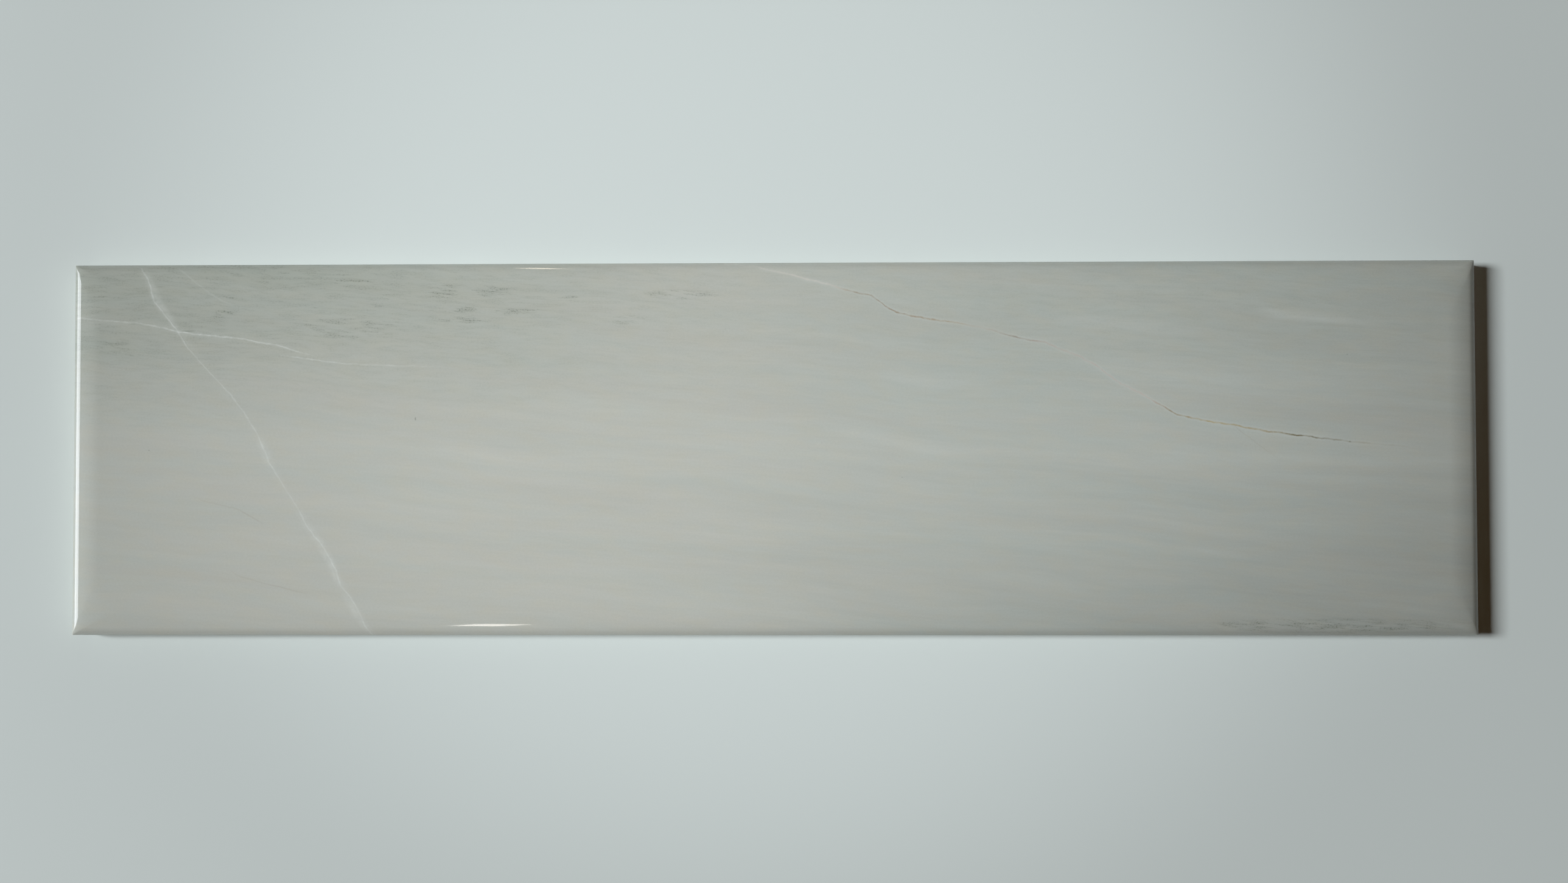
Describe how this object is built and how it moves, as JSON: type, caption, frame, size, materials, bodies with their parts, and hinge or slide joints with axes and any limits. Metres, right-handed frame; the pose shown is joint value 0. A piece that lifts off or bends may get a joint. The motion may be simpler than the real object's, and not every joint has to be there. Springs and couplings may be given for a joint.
{
  "type": "wall tile",
  "caption": "Long rectangular glazed ceramic wall tile with cushioned, mitred edges, a pale marble-look gloss face and a keyed back for adhesive.",
  "frame": {"origin": "centre of the keyed back, in the plane of the rim and ribs that the tile rests on and is bedded on", "axes": "+X along the tile's long side, +Y across it, +Z out of the glazed face"},
  "size_m": [0.2994, 0.0794, 0.008],
  "materials": {
    "glazed_tile": "clear gloss glaze over a printed pale grey-beige marble pattern, on a pale fired body that stays bare on the sides and the back"
  },
  "bodies": {
    "root": {"wall_tile": "glazed_tile"}
  },
  "joints": []
}
